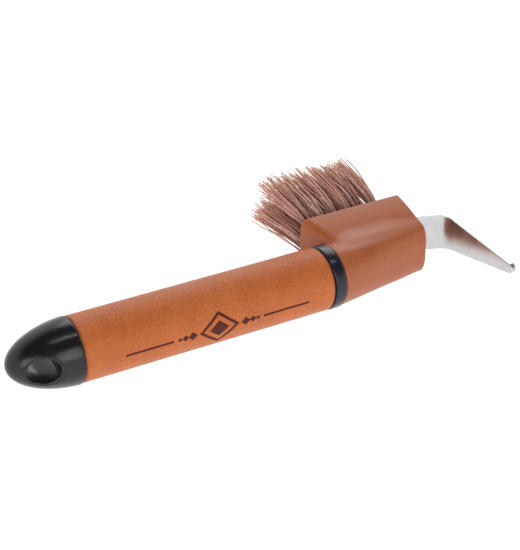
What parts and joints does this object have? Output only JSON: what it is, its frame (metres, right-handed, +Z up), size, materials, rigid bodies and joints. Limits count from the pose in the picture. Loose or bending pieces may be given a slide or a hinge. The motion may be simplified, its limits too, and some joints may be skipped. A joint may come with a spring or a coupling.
{
  "type": "hoof pick",
  "caption": "Hoof pick with a leather-wrapped handle, a bent steel pick blade, a stiff bristle brush set in a moulded plastic head, and a capped end with a hanging hole.",
  "frame": {"origin": "middle of the base of the tool's bounding box, with the tool lying on its side", "axes": "+X along the handle from the end cap to the pick blade, +Y the way the brush points, with the blade hooking the other way, +Z up across the blade's width"},
  "size_m": [0.1976, 0.0826, 0.0452],
  "materials": {
    "cap_gloss": "black, polished",
    "core_plastic": "black, as moulded",
    "grip_leather": "tan, smooth-grained, lightly waxed",
    "ring_gloss": "black, polished",
    "head_plastic": "tan, satin, faint tool lines",
    "blade_steel": "satin, fine cross brushing",
    "brush_bristle": "dusty brown synthetic bristle",
    "anchor_wire": "flat galvanised wire"
  },
  "bodies": {
    "root": {"end_cap": "cap_gloss", "handle_core": "core_plastic", "leather_sleeve": "grip_leather", "collar_ring": "ring_gloss", "head_block": "head_plastic", "pick_blade": "blade_steel", "bristle_tuft_c1_r1": "brush_bristle", "bristle_tuft_c1_r2": "brush_bristle", "bristle_tuft_c1_r3": "brush_bristle", "bristle_tuft_c1_r4": "brush_bristle", "bristle_tuft_c2_r1": "brush_bristle", "bristle_tuft_c2_r2": "brush_bristle", "bristle_tuft_c2_r3": "brush_bristle", "bristle_tuft_c2_r4": "brush_bristle", "bristle_tuft_c3_r1": "brush_bristle", "bristle_tuft_c3_r2": "brush_bristle", "bristle_tuft_c3_r3": "brush_bristle", "bristle_tuft_c3_r4": "brush_bristle", "bristle_tuft_c4_r1": "brush_bristle", "bristle_tuft_c4_r2": "brush_bristle", "bristle_tuft_c4_r3": "brush_bristle", "bristle_tuft_c4_r4": "brush_bristle", "bristle_tuft_c5_r1": "brush_bristle", "bristle_tuft_c5_r2": "brush_bristle", "bristle_tuft_c5_r3": "brush_bristle", "bristle_tuft_c5_r4": "brush_bristle", "bristle_tuft_c6_r1": "brush_bristle", "bristle_tuft_c6_r2": "brush_bristle", "bristle_tuft_c6_r3": "brush_bristle", "bristle_tuft_c6_r4": "brush_bristle", "tuft_anchor_c1_r1": "anchor_wire", "tuft_anchor_c1_r2": "anchor_wire", "tuft_anchor_c1_r3": "anchor_wire", "tuft_anchor_c1_r4": "anchor_wire", "tuft_anchor_c2_r1": "anchor_wire", "tuft_anchor_c2_r2": "anchor_wire", "tuft_anchor_c2_r3": "anchor_wire", "tuft_anchor_c2_r4": "anchor_wire", "tuft_anchor_c3_r1": "anchor_wire", "tuft_anchor_c3_r2": "anchor_wire", "tuft_anchor_c3_r3": "anchor_wire", "tuft_anchor_c3_r4": "anchor_wire", "tuft_anchor_c4_r1": "anchor_wire", "tuft_anchor_c4_r2": "anchor_wire", "tuft_anchor_c4_r3": "anchor_wire", "tuft_anchor_c4_r4": "anchor_wire", "tuft_anchor_c5_r1": "anchor_wire", "tuft_anchor_c5_r2": "anchor_wire", "tuft_anchor_c5_r3": "anchor_wire", "tuft_anchor_c5_r4": "anchor_wire", "tuft_anchor_c6_r1": "anchor_wire", "tuft_anchor_c6_r2": "anchor_wire", "tuft_anchor_c6_r3": "anchor_wire", "tuft_anchor_c6_r4": "anchor_wire"}
  },
  "joints": []
}
